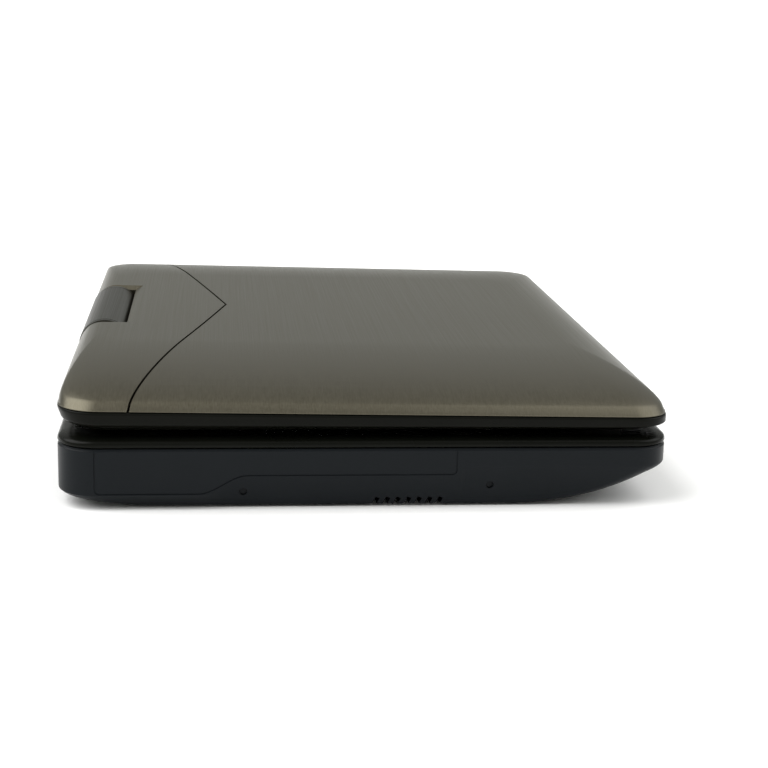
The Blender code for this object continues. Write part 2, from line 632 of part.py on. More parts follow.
def chevron_tool(name, to_rear):
    """A block on one side of the chevron joint between the two covers."""
    shift = CHEVRON_GAP / 2 * (-1 if to_rear else 1)
    tip = HALF_W - CHEVRON_TIP + shift
    reach = HALF_L + 10 * MM
    edge = HALF_W + 20 * MM if to_rear else -HALF_W - 20 * MM
    arm = [reach * step / 8 for step in range(9)]
    right = [(x, tip + CHEVRON_SLOPE * x + CHEVRON_CURVE * x * x) for x in arm]
    left = [(-x, y) for x, y in reversed(right[1:])]
    ring = right + [(reach, edge), (-reach, edge)] + left
    return loft(name, [[(x, y, z) for x, y in ring] for z in (20 * MM, 60 * MM)], None, CUTTERS)


def shaft_hole(target):
    """Lets the tilt shaft through the walls beside the barrel."""
    cut_rod(target, (-45 * MM, HINGE_Y, HINGE_Z), (45 * MM, HINGE_Y, HINGE_Z), SHAFT_R + 0.6 * MM, 16)


def make_covers():
    """The two domed covers of the lid's back, which meet at the chevron joint."""
    pieces = []
    for name, keeps_front in (("lid_main_cover", True), ("lid_rear_cover", False)):
        cover = loft(name, dome_rings(0), BRONZE)
        boolean(cover, notch_tool(name + "_notch", 0))
        inner = loft(name + "_inside", dome_rings(COVER_WALL), None, CUTTERS)
        inner.location.z = -0.5 * MM
        boolean(inner, notch_tool(name + "_notch_wall", COVER_WALL))
        boolean(cover, inner)
        boolean(cover, chevron_tool(name + "_joint", to_rear=keeps_front))
        if not keeps_front:
            shaft_hole(cover)
        pieces.append(cover)
    return pieces


def rear_round(z):
    """Inset of the lid's rear edge that keeps it within the round about the tilt axis."""
    drop = min(ROUND_R, max(0.0, HINGE_Z - z))
    return HALF_W - HINGE_Y - math.sqrt(ROUND_R ** 2 - drop ** 2)


def make_lid_frame():
    """The dark rim around the lid, thicker at the hinge than at the front."""
    rings = []
    for share, inset in ((0, 2.0), (0.17, 0.4), (0.3, 0), (0.85, 0.05), (1, 0.5)):
        def height(y, share=share):
            low = along_lid(RIM_LOW_REAR, RIM_LOW_FRONT, y)
            return low + (along_lid(RIM_TOP_REAR, RIM_TOP_FRONT, y) - low) * share

        rear = max(rear_round(height(HALF_W)), inset * MM * 0.5)
        rings.append(outline(inset * MM, inset * MM, rear, height))
    frame = loft("lid_frame", rings, RIM_BLACK)
    boolean(frame, notch_tool("lid_frame_notch", 0))
    inner = loft("lid_frame_inside", [outline(FRAME_WALL, FRAME_WALL, FRAME_WALL, z * MM) for z in (20, 45)],
                 None, CUTTERS)
    boolean(inner, notch_tool("lid_frame_notch_wall", COVER_WALL))
    boolean(frame, inner)
    shaft_hole(frame)
    return frame


def make_screen():
    """The bezel, the display panel behind it and the display's driver board."""
    low, high = FRAME_WALL + 1.8 * MM, FRAME_WALL + 0.4 * MM
    bezel = loft("lid_bezel", [outline(low, low, low, BEZEL_Z), outline(high, high, high, BEZEL_Z + 1.1 * MM),
                               outline(high, high, high, BEZEL_Z + 1.9 * MM)], GLOSS_BLACK)
    boolean(bezel, notch_tool("lid_bezel_notch", COVER_WALL + GAP))
    cut_box(bezel, (-109 * MM, SCREEN_Y - 68 * MM, 20 * MM), (109 * MM, SCREEN_Y + 68 * MM, 30 * MM))
    panel = box("display_panel", (-114 * MM, SCREEN_Y - 71.5 * MM, 26.5 * MM),
                (114 * MM, SCREEN_Y + 71.5 * MM, 30.5 * MM), SCREEN)
    board = box("display_board", (-38 * MM, 12 * MM, 31.2 * MM), (34 * MM, 42 * MM, 32.6 * MM), BOARD)
    return [bezel, panel, board]


make_lower_case()
make_upper_case()
make_door()
make_keys()
make_ports()
make_drive()
make_electronics()
make_fasteners_and_feet()
tilt_axis = make_hinge()
lid = make_brackets() + make_covers() + [make_lid_frame()] + make_screen()
hang(lid, tilt_axis)
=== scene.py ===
"""Looks of the portable DVD player: finer shells, surface detail, materials, light and camera.

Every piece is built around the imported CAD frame, in metres, with +X to the user's right,
+Y to the hinge and +Z up.
"""

import json
import math

import bmesh
import bpy
from mathutils import Matrix, Vector


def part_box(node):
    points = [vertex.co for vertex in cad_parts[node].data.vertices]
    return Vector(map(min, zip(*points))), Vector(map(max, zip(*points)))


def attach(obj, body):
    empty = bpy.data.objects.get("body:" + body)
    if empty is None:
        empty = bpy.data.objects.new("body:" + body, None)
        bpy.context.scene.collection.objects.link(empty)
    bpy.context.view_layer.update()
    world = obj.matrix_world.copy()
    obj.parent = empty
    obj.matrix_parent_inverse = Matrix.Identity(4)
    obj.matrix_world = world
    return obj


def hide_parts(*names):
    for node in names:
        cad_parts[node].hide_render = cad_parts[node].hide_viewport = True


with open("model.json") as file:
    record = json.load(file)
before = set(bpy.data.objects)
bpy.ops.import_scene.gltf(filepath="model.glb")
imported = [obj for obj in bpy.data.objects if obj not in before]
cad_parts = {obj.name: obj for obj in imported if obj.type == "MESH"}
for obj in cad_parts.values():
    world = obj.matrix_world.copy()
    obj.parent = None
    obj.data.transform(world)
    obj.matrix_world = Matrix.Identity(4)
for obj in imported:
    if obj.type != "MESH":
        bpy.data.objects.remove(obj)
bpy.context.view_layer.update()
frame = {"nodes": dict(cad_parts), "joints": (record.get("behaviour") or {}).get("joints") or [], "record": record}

MM = 0.001

# Sizes that the frame gives
CASE_LOW, CASE_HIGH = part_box("lower_case")
DOOR_LOW, DOOR_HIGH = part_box("disc_door")
BEZEL_LOW, BEZEL_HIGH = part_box("lid_bezel")
BARREL_LOW, BARREL_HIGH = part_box("hinge_barrel")
PANEL_LOW, PANEL_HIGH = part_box("display_panel")
HALF_L, HALF_W = CASE_HIGH.x, CASE_HIGH.y
HULL_Z, SEAM_Z = CASE_LOW.z, CASE_HIGH.z
DECK_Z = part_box("upper_case")[1].z
HINGE = Vector(next(j["pos_m"] for j in frame["joints"] if j["name"] == "screen_tilt"))
BARREL_R = (BARREL_HIGH.z - BARREL_LOW.z) / 2
BARREL_HALF = BARREL_HIGH.x
KEY_NODES = ("key_up", "key_down", "key_left", "key_right", "key_enter", "key_play", "key_stop", "key_menu",
             "door_button")

# Shape of the shells, as in the CAD model but with a wider chevron gap. A pair of heights is
# (at the lid's rear edge, at its front edge); CHEVRON_CURVE is per metre.
CORNER_FRONT, CORNER_REAR = 11 * MM, 12 * MM
WALL, GAP = 1.8 * MM, 0.3 * MM
HULL_CREASE, HULL_TUCK = 12.4 * MM, 2.8 * MM
PANEL_FOOT_REAR, PANEL_FOOT_FRONT = 3.8 * MM, 9.6 * MM
PANEL_STEP_REAR, PANEL_STEP_LENGTH = 43 * MM, 15 * MM
PANEL_REAR, PANEL_FRONT = 11.8 * MM, 123.2 * MM
FRONT_SWEEP_R, FRONT_SWEEP, FRONT_KNEE = 68 * MM, 38.6 * MM, 9.3 * MM
REAR_SWEEP_R, REAR_SWEEP, REAR_KNEE, REAR_TOP = 51 * MM, 17 * MM, 2.2 * MM, 4.2 * MM
ROUND_R = 9.3 * MM
RIM_LOW = (25.8 * MM, 25.1 * MM)
RIM_TOP = (30.9 * MM, 28.6 * MM)
LID_TOP = (41.0 * MM, 38.6 * MM)
DOME_SIDE, DOME_FRONT = 60 * MM, 22.5 * MM
COVER_WALL, FRAME_WALL = 1.6 * MM, 3 * MM
NOTCH_HALF, NOTCH_DEPTH, NOTCH_LIP = 34.2 * MM, 18.9 * MM, 17.0 * MM
NOTCH_LIP_Z, NOTCH_FLARE_Z = 39.3 * MM, 41.0 * MM
NOTCH_FLARE_FRONT, NOTCH_FLARE_SIDE = 3.2 * MM, 2.0 * MM
CHEVRON_TIP, CHEVRON_SLOPE, CHEVRON_CURVE, CHEVRON_GAP = 51.9 * MM, 0.216, 0.23, 0.75 * MM

# Levels that the lofts are drawn through: heights in mm, or pairs of (inset, height) in mm
HULL_LEVELS = (0, 0.2, 0.45, 0.8, 1.2, 1.7, 2.2, 2.7, 3.2, 3.8, 4.2, 5, 5.8, 6.8, 7.7, 8.7, 9.3, 9.9, 10.5,
               11, 11.4, 11.8, 12.1, 12.4, 12.8)
CAVITY_LEVELS = (0, 0.9, 2.2, 3.8, 5.8, 7.7, 9.6, 11, 12.4, 19)
SEAM_LIP = ((0.75, 0), (0.62, 0.03), (0.50, 0.12), (0.35, 0.25), (0.15, 0.42), (0, 0.5))
SHOULDER_FOOT = [(0.50, 19.56), (0.40, 19.60), (0.22, 19.74), (0.06, 19.92), (0, 20.1), (0, 20.35),
                 (0.05, 20.55)]
DECK_INSIDE = ((1.8, 18), (1.8, 19.9), (2.8, 20.7))
DOME_TURNS = (13, 18, 24, 30, 36, 42, 48, 54, 60, 66, 72, 77, 82, 86, 90)
DOME_TURNS_INSIDE = (0, 4, 8, *DOME_TURNS)
RIM_LEVELS = ((0, 2.0), (0.06, 1.35), (0.13, 0.75), (0.17, 0.42), (0.22, 0.2), (0.28, 0.05), (0.34, 0),
              (0.82, 0), (0.88, 0.04), (0.94, 0.16), (0.98, 0.34), (1, 0.5))

# Screws, keys and holes
BOSS_R, BOSS_FOOT, BOSS_TOP = 4.6 * MM, 1 * MM, 6.1 * MM
WELL_R, WELL_TOP, BORE_R, BORE_TOP = 3.3 * MM, 3.3 * MM, 1.6 * MM, 9 * MM
KEY_FLANGE, KEY_FLANGE_TOP = 1 * MM, 20.2 * MM
SHAFT_HOLE_R, POST_HOLE_R = 3.6 * MM, 5.8 * MM
KNUCKLE_X, KNUCKLE_HALF, KNUCKLE_R, PIN_HOLE_R = 45 * MM, 5 * MM, 2.2 * MM, 1.5 * MM

# Surface detail; a recess stands at (distance from the rear edge, height above the hull's bottom)
SHARP = math.radians(30)
PANEL_GROOVE = 0.22 * MM
VENT_COUNT, VENT_PITCH, VENT_MIDDLE = 7, 3.3 * MM, -12.3 * MM
VENT_SLANT = math.radians(24)
VENT_HALF, VENT_REACH, VENT_LOW, VENT_HIGH = 0.7 * MM, 6 * MM, -4 * MM, 1.9 * MM
VENT_INWARD, VENT_RAISED = 8 * MM, 0.4 * MM
RECESSES = ((56.6 * MM, 4.55 * MM), (133.0 * MM, 6.3 * MM))
RECESS_R, RECESS_DEPTH = 1.25 * MM, 1.1 * MM
WINDOW_HALF = (109 * MM, 68 * MM)

# Floor, in metres: its half width, and its (distance ahead, height)
FLOOR_HALF = 40
FLOOR_RISE = ((-40, 0), (16, 0), (24, 0.15), (32, 0.6), (40, 1.3))

# Lights: the lean from straight overhead in degrees, towards the player's rear if positive, and the energy
LIGHTS = (("over_rear", 42, 2.9), ("over_front", -42, 1.5))
LIGHT_SPREAD = math.radians(60)

# Camera: where it stands, and its turns in radians
CAMERA_PLACE = (-0.5909, 0.04628, 0.1545)
CAMERA_YAW, CAMERA_PITCH, CAMERA_ROLL = 0.1069, 0.23895, -0.0259
CAMERA_LENS, CAMERA_SENSOR = 75, 36


# ---------------------------------------------------------------- materials

def material(name, colour, roughness, metallic=0.0, specular=0.5, coat=0.0):
    """A Principled material; returns it with its node tree and shader."""
    made = bpy.data.materials.new(name)
    made.use_nodes = True
    shader = made.node_tree.nodes["Principled BSDF"]
    shader.inputs["Base Color"].default_value = (*colour, 1)
    shader.inputs["Roughness"].default_value = roughness
    shader.inputs["Metallic"].default_value = metallic
    shader.inputs["Specular IOR Level"].default_value = specular
    shader.inputs["Coat Weight"].default_value = coat
    return made, made.node_tree, shader


def grain(tree, stretch, scale, detail=3.0, rough=0.5):
    """Noise in the object's own space, stretched by the vector; returns its output socket."""
    place = tree.nodes.new("ShaderNodeTexCoord")
    mapping = tree.nodes.new("ShaderNodeMapping")
    mapping.inputs["Scale"].default_value = stretch
    noise = tree.nodes.new("ShaderNodeTexNoise")
    noise.inputs["Scale"].default_value = scale
    noise.inputs["Detail"].default_value = detail
    noise.inputs["Roughness"].default_value = rough
    tree.links.new(place.outputs["Object"], mapping.inputs["Vector"])
    tree.links.new(mapping.outputs["Vector"], noise.inputs["Vector"])
    return noise.outputs["Fac"]


def ramp(tree, source, low, high, start=0.3, end=0.7):
    """A colour that runs from low to high as source runs from start to end."""
    node = tree.nodes.new("ShaderNodeValToRGB")
    node.color_ramp.elements[0].position = start
    node.color_ramp.elements[1].position = end
    node.color_ramp.elements[0].color = (*low, 1)
    node.color_ramp.elements[1].color = (*high, 1)
    tree.links.new(source, node.inputs["Fac"])
    return node.outputs["Color"]


def spread(tree, source, low, high, start=0.3, end=0.7):
    """A number that runs from low to high as source runs from start to end."""
    node = tree.nodes.new("ShaderNodeMapRange")
    node.inputs["From Min"].default_value = start
    node.inputs["From Max"].default_value = end
    node.inputs["To Min"].default_value = low
    node.inputs["To Max"].default_value = high
    tree.links.new(source, node.inputs["Value"])
    return node.outputs["Result"]


def bump(tree, shader, source, strength, distance):
    """Raises the surface by source."""
    node = tree.nodes.new("ShaderNodeBump")
    node.inputs["Strength"].default_value = strength
    node.inputs["Distance"].default_value = distance
    tree.links.new(source, node.inputs["Height"])
    tree.links.new(node.outputs["Normal"], shader.inputs["Normal"])


def brushed(name, dark, light, stretch, rough_low, rough_high, metallic=1.0):
    """A brushed surface: hairlines that are long where stretch is small."""
    made, tree, shader = material(name, light, rough_low, metallic)
    lines = grain(tree, stretch, 1.0, 4.0, 0.65)
    clouds = grain(tree, (9, 9, 9), 1.0, 2.0)
    mix = tree.nodes.new("ShaderNodeMath")
    mix.operation = "MULTIPLY_ADD"
    mix.inputs[1].default_value = 0.25
    tree.links.new(clouds, mix.inputs[0])
    tree.links.new(lines, mix.inputs[2])
    tree.links.new(ramp(tree, mix.outputs[0], dark, light, 0.4, 0.85), shader.inputs["Base Color"])
    tree.links.new(spread(tree, lines, rough_low, rough_high), shader.inputs["Roughness"])
    bump(tree, shader, lines, 0.12, 0.00003)
    return made


def moulded(name, dark, light, roughness, specular, grain_size=0.0004, depth=0.00002, coat=0.0):
    """Moulded plastic with a fine grain and faint clouding."""
    made, tree, shader = material(name, light, roughness, 0.0, specular, coat)
    fine = grain(tree, (1, 1, 1), 1 / grain_size, 2.0)
    clouds = grain(tree, (1, 1, 1), 28.0, 3.0)
    tree.links.new(ramp(tree, clouds, dark, light), shader.inputs["Base Color"])
    tree.links.new(spread(tree, clouds, roughness * 0.88, roughness * 1.12), shader.inputs["Roughness"])
    bump(tree, shader, fine, 0.25, depth)
    return made


HAIRLINES = (14, 2600, 900)
BRONZE = brushed("bronze_finish", (0.080, 0.072, 0.051), (0.106, 0.098, 0.073), HAIRLINES, 0.30, 0.38,
                 metallic=0.9)
# The barrel's bronze: the same finish made much darker, as painted shade for the shadowed cavity the barrel sits
# in
SHADE_DARKENED_BRONZE = brushed("barrel_bronze_painted_shade", (0.016, 0.015, 0.010), (0.028, 0.026, 0.018), HAIRLINES, 0.32, 0.42,
                      metallic=0.9)
RIM = moulded("rim_black", (0.0030, 0.0032, 0.0022), (0.0044, 0.0046, 0.0032), 0.36, 0.07, 0.0006, 0.00001)
GLOSS = moulded("gloss_black", (0.0028, 0.0032, 0.0022), (0.0040, 0.0044, 0.0030), 0.28, 0.08, 0.002,
                0.000004)
SATIN = moulded("satin_black", (0.0046, 0.0062, 0.0078), (0.0062, 0.0080, 0.0098), 0.38, 0.11)
KEY = moulded("key_grey", (0.055, 0.055, 0.060), (0.075, 0.075, 0.080), 0.42, 0.4)
MARK = moulded("key_mark", (0.50, 0.50, 0.50), (0.58, 0.58, 0.58), 0.5, 0.4)
RUBBER = moulded("rubber_black", (0.012, 0.012, 0.012), (0.020, 0.020, 0.020), 0.85, 0.3, 0.0008, 0.00006)
STEEL = brushed("steel", (0.42, 0.42, 0.43), (0.62, 0.62, 0.63), (60, 1800, 900), 0.22, 0.38)
INNER = moulded("inner_plastic", (0.028, 0.028, 0.030), (0.040, 0.040, 0.042), 0.55, 0.4)
SMOKED = moulded("smoked_window", (0.018, 0.003, 0.003), (0.024, 0.004, 0.004), 0.10, 0.5, 0.004,
                 0.000002)
SCREEN = moulded("screen_glass", (0.0040, 0.0045, 0.0060), (0.0050, 0.0056, 0.0072), 0.12, 0.5, 0.003,
                 0.000001)
LENS = moulded("lens_glass", (0.05, 0.08, 0.30), (0.08, 0.12, 0.40), 0.05, 0.6, 0.003, 0.000001, 0.5)
BOARD = moulded("board_green", (0.008, 0.075, 0.030), (0.014, 0.110, 0.045), 0.42, 0.5, 0.0009, 0.00004)
WRAP = moulded("battery_wrap", (0.015, 0.040, 0.130), (0.022, 0.055, 0.170), 0.33, 0.5, 0.003, 0.00001)


# ---------------------------------------------------------------- mesh helpers

def new_object(name, builder, surface=None):
    """Turns a bmesh into an object with outward faces."""
    bmesh.ops.recalc_face_normals(builder, faces=builder.faces)
    mesh = bpy.data.meshes.new(name)
    builder.to_mesh(mesh)
    builder.free()
    made = bpy.data.objects.new(name, mesh)
    if surface:
        mesh.materials.append(surface)
    bpy.context.scene.collection.objects.link(made)
    return made


def apply_all(target):
    """Makes the modifiers' result the object's own mesh."""
    bpy.context.view_layer.update()
    graph = bpy.context.evaluated_depsgraph_get()
    mesh = bpy.data.meshes.new_from_object(target.evaluated_get(graph))
    old = target.data
    target.modifiers.clear()
    target.data = mesh
    if old.users == 0:
        bpy.data.meshes.remove(old)
    return target


def combine(target, tool, operation="DIFFERENCE"):
    """Cuts tool out of target, or joins it, and removes tool."""
    change = target.modifiers.new("change", "BOOLEAN")
    change.operation = operation
    change.solver = "EXACT"
    change.object = tool
    apply_all(target)
    bpy.data.objects.remove(tool)
    return target


def round_edges(target, width):
    """Rounds the sharp edges."""
    edge = target.modifiers.new("edge", "BEVEL")
    edge.width = width
    edge.segments = 2
    edge.limit_method = "ANGLE"
    edge.angle_limit = SHARP
    return apply_all(target)


def polish(target):
    """Smooths what isn't sharp."""
    target.data.shade_smooth()
    target.data.set_sharp_from_angle(angle=SHARP)
    even = target.modifiers.new("even", "WEIGHTED_NORMAL")
    even.keep_sharp = True
    return target


def join(target, *others):
    """Makes several objects one, each with its own material."""
    builder = bmesh.new()
    for number, item in enumerate((target, *others)):
        start = len(builder.faces)
        builder.from_mesh(item.data)
        builder.faces.ensure_lookup_table()
        for face in builder.faces[start:]:
            face.material_index = number
    for item in others:
        target.data.materials.append(item.data.materials[0])
    builder.to_mesh(target.data)
    builder.free()
    for item in others:
        bpy.data.objects.remove(item)
    return target


def loft(name, rings, surface=None):
    """Joins rings of equal length into one skin with capped ends."""
    builder = bmesh.new()
    rows = [[builder.verts.new(point) for point in ring] for ring in rings]
    count = len(rows[0])
    for low, high in zip(rows, rows[1:]):
        for i in range(count):
            j = (i + 1) % count
            builder.faces.new((low[i], low[j], high[j], high[i]))
    builder.faces.new(list(reversed(rows[0])))
    builder.faces.new(rows[-1])
    return new_object(name, builder, surface)


def box(name, low, high, surface=None):
    """A plain block between two corners."""
    low, high = Vector(low), Vector(high)
    ring = [(low.x, low.y), (high.x, low.y), (high.x, high.y), (low.x, high.y)]
    return loft(name, [[(x, y, z) for x, y in ring] for z in (low.z, high.z)], surface)


def rounded_ring(low, high, radius, inset, z, steps=6):
    """One rounded rectangle between two corners, inset all round, at height z."""
    r = max(radius - inset, 0.02 * MM)
    ring = []
    for sx, sy, start in ((1, -1, -90), (1, 1, 0), (-1, 1, 90), (-1, -1, 180)):
        cx = (high.x if sx > 0 else low.x) - sx * (inset + r)
        cy = (high.y if sy > 0 else low.y) - sy * (inset + r)
        for i in range(steps + 1):
            a = math.radians(start + 90 * i / steps)
            ring.append((cx + r * math.cos(a), cy + r * math.sin(a), z))
    return ring


def rounded_box(name, low, high, radius, surface=None, edge=0.0, top_only=False):
    """An upright block with rounded corners in plan, and rounded top and bottom edges if asked."""
    low, high = Vector(low), Vector(high)
    turns = [math.radians(90 * i / 4) for i in range(5)] if edge else []
    levels = [(0.0, low.z)]
    if edge and not top_only:
        levels = [(edge * (1 - math.sin(t)), low.z + edge * (1 - math.cos(t))) for t in turns]
    upper = [(edge * (1 - math.cos(t)), high.z - edge * (1 - math.sin(t))) for t in turns]
    levels += upper or [(0.0, high.z)]
    return loft(name, [rounded_ring(low, high, radius, inset, z) for inset, z in levels], surface)


def rod(name, start, end, radius, surface=None, sides=48):
    """A cylinder from start to end."""
    start, end = Vector(start), Vector(end)
    turn = (end - start).to_track_quat("Z", "Y")
    rings = []
    for place in (start, end):
        ring = []
        for step in range(sides):
            a = math.tau * step / sides
            ring.append(place + turn @ Vector((radius * math.cos(a), radius * math.sin(a), 0)))
        rings.append(ring)
    return loft(name, rings, surface)


def turned(name, profile, centre, axis=(0, 0, 1), surface=None, sides=64):
    """A solid turned about axis through centre, from a closed outline of (radius, height) in mm."""
    builder = bmesh.new()
    rows = []
    for step in range(sides):
        a = math.tau * step / sides
        rows.append([builder.verts.new((r * MM * math.cos(a), r * MM * math.sin(a), z * MM))
                     for r, z in profile])
    count = len(profile)
    for step in range(sides):
        here, there = rows[step], rows[(step + 1) % sides]
        for i in range(count):
            j = (i + 1) % count
            if profile[i][0] == 0 and profile[j][0] == 0:
                continue
            builder.faces.new((here[i], there[i], there[j], here[j]))
    bmesh.ops.remove_doubles(builder, verts=builder.verts, dist=1e-7)
    bmesh.ops.dissolve_degenerate(builder, dist=1e-7, edges=builder.edges)
    turn = Vector(axis).to_track_quat("Z", "Y").to_matrix().to_4x4()
    builder.transform(Matrix.Translation(centre) @ turn)
    return new_object(name, builder, surface)


def tube_along(name, points, radius, sides=8):
    """A thin round bar along points that all lie at one x, for cutting grooves."""
    rings = []
    for i, point in enumerate(points):
        before, after = Vector(points[max(i - 1, 0)]), Vector(points[min(i + 1, len(points) - 1)])
        along = (after - before).normalized()
        outward = Vector((1, 0, 0))
        across = along.cross(outward)
        ring = []
        for step in range(sides):
            a = math.tau * step / sides
            ring.append(Vector(point) + radius * (outward * math.cos(a) + across * math.sin(a)))
        rings.append(ring)
    return loft(name, rings)


def stand_for(piece, body, slot, *nodes):
    """Places a finished piece on its body, in place of CAD nodes."""
    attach(piece, body)
    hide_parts(*nodes)


# ---------------------------------------------------------------- outlines

def along_lid(pair, y):
    """A height that changes evenly from the rear edge to the front edge."""
    return pair[0] + (pair[1] - pair[0]) * (HALF_W - y) / (2 * HALF_W)


def smooth(t):
    """An S-shaped step from 0 to 1."""
    t = min(1.0, max(0.0, t))
    return t * t * (3 - 2 * t)


def outline(side, front, rear, height, stations=(), steps=14):
    """One rounded rectangle inside the footprint, anticlockwise from the front right corner."""
    x = HALF_L - side
    y_front, y_rear = -HALF_W + front, HALF_W - rear
    corners = ((1, -1, CORNER_FRONT, -90), (1, 1, CORNER_REAR, 0),
               (-1, 1, CORNER_REAR, 90), (-1, -1, CORNER_FRONT, 180))
    points = []
    for number, (sx, sy, radius, start) in enumerate(corners):
        cx = sx * (x - radius)
        cy = y_front + radius if sy < 0 else y_rear - radius
        for step in range(steps + 1):
            a = math.radians(start + 90 * step / steps)
            points.append((cx + radius * math.cos(a), cy + radius * math.sin(a)))
        if number == 0:
            points += [(x, y) for y in stations]
        if number == 2:
            points += [(-x, y) for y in reversed(stations)]
    at = height if callable(height) else (lambda y: height)
    return [(px, py, at(py)) for px, py in points]


def front_inset(h):
    """How far the hull's front is swept in, h above its bottom."""
    if h <= FRONT_KNEE:
        return FRONT_SWEEP - math.sqrt(FRONT_SWEEP_R ** 2 - (FRONT_SWEEP_R - h) ** 2)
    left = max(0.0, 1 - (h - FRONT_KNEE) / (HULL_CREASE - FRONT_KNEE))
    return front_inset(FRONT_KNEE) * left ** 1.6


def rear_inset(h):
    """How far the hull's rear is swept in, h above its bottom."""
    if h <= REAR_KNEE:
        return REAR_SWEEP - math.sqrt(REAR_SWEEP_R ** 2 - (REAR_SWEEP_R - h) ** 2)
    left = max(0.0, 1 - (h - REAR_KNEE) / (REAR_TOP - REAR_KNEE))
    return rear_inset(REAR_KNEE) * left ** 1.8


def hull_bottom(y):
    """Height of the hull's underside at this y, away from its sides."""
    reach = max(0.0, FRONT_SWEEP - (y + HALF_W))
    return HULL_Z + FRONT_SWEEP_R - math.sqrt(FRONT_SWEEP_R ** 2 - reach ** 2)


def wall_foot(y):
    """Height above the hull's bottom where the upright side wall ends, at this y."""
    from_rear = HALF_W - y
    first = smooth((from_rear - PANEL_STEP_REAR) / PANEL_STEP_LENGTH)
    second = smooth((from_rear - PANEL_FRONT) / (2 * MM))
    return (PANEL_FOOT_REAR + (PANEL_FOOT_FRONT - PANEL_FOOT_REAR) * first
            + (HULL_CREASE - PANEL_FOOT_FRONT) * second)


def rear_round(z):
    """Inset of the lid's rear edge that keeps it within the round about the tilt axis."""
    drop = min(ROUND_R, max(0.0, HINGE.z - z))
    return HALF_W - HINGE.y - math.sqrt(ROUND_R ** 2 - drop ** 2)


# ---------------------------------------------------------------- lower case

def hull_ring(h, lip=0.0):
    """The hull's outline h above its bottom, with the leaning sides, inset all round by lip."""
    stations = [HALF_W - PANEL_FRONT - d * MM for d in (4, 2.4, 2, 1.6, 1.2, 0.8, 0.4, 0, -1)]
    stations += [HALF_W - PANEL_STEP_REAR - (16 - 0.8 * i) * MM for i in range(22)]
    leaned = []
    for x, y, z in outline(lip, front_inset(h) + lip, rear_inset(h) + lip, HULL_Z + h, stations):
        inset = HULL_TUCK * max(0.0, 1 - h / wall_foot(y))
        leaned.append((x - math.copysign(inset, x), y, z))
    return leaned


def cavity_ring(h):
    """The inside of the hull: its outline raised and inset by the wall."""
    return [(x, y, z + WALL) for x, y, z in hull_ring(h, WALL)]


def panel_line(side):
    """The fine groove around one side panel, on the upright wall."""
    x = side * HALF_L
    low = HULL_Z + PANEL_FOOT_REAR + 0.5 * MM
    rear, front = HALF_W - PANEL_REAR, HALF_W - PANEL_FRONT + 0.9 * MM
    corner = 1.4 * MM
    turns = [math.radians(90 * i / 6) for i in range(7)]
    points = [(x, rear, SEAM_Z + 1 * MM)]
    points += [(x, rear - corner + corner * math.cos(a), low + corner - corner * math.sin(a)) for a in turns]
    for i in range(1, 29):
        y = HALF_W - PANEL_STEP_REAR + 3 * MM - 20 * MM * i / 28
        points.append((x, y, HULL_Z + wall_foot(y) + 0.5 * MM))
    top = points[-1][2]
    points += [(x, front + corner - corner * math.sin(a), top + corner - corner * math.cos(a))
               for a in turns]
    points.append((x, front, SEAM_Z + 1 * MM))
    return tube_along("panel_line", points, PANEL_GROOVE)


def cut_vents(case, side):
    """The short slanted slots low on one side, which run under the hull's edge."""
    for number in range(VENT_COUNT):
        y = VENT_MIDDLE + (number - (VENT_COUNT - 1) / 2) * VENT_PITCH
        slot = box("vent", (-VENT_REACH, -VENT_HALF, VENT_LOW), (VENT_REACH, VENT_HALF, VENT_HIGH))
        slot.rotation_euler = (VENT_SLANT, 0, 0)
        slot.location = (side * (HALF_L - VENT_INWARD), y, HULL_Z + VENT_RAISED)
        combine(case, slot)


def cut_recesses(case, side):
    """The two small round recesses low on one side."""
    for from_rear, h in RECESSES:
        y, z = HALF_W - from_rear, HULL_Z + h
        lean = HULL_TUCK * max(0.0, 1 - h / wall_foot(y))
        skin = HALF_L - lean
        combine(case, rod("recess", (side * (skin - RECESS_DEPTH), y, z),
                          (side * (HALF_L + 2 * MM), y, z), RECESS_R, sides=32))


def cut_sockets(case):
    """Holes in the right wall and the front for what sits in them."""
    for node in ("dc_jack", "headphone_jack", "av_jack"):
        low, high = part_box(node)
        centre, radius = (low + high) / 2, (high.z - low.z) / 2
        combine(case, rod("socket", (HALF_L - 4 * MM, centre.y, centre.z),
                          (HALF_L + 2 * MM, centre.y, centre.z), radius + GAP))
    # Room ahead of each piece, behind it, and both above and below it
    margins = {"usb_port": (GAP, GAP, GAP), "card_slot": (GAP, GAP, GAP),
               "power_switch": (4.6 * MM, 0.6 * MM, GAP), "volume_wheel": (-1.4 * MM, -1.4 * MM, 0.5 * MM)}
    for node, (ahead, behind, upright) in margins.items():
        low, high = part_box(node)
        combine(case, box("socket", (HALF_L - 5 * MM, low.y - ahead, low.z - upright),
                          (HALF_L + 2 * MM, high.y + behind, high.z + upright)))
    low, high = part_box("ir_window")
    combine(case, box("socket", (low.x - GAP, low.y - 3 * MM, low.z - GAP),
                      (high.x + GAP, high.y + 2 * MM, high.z + GAP)))


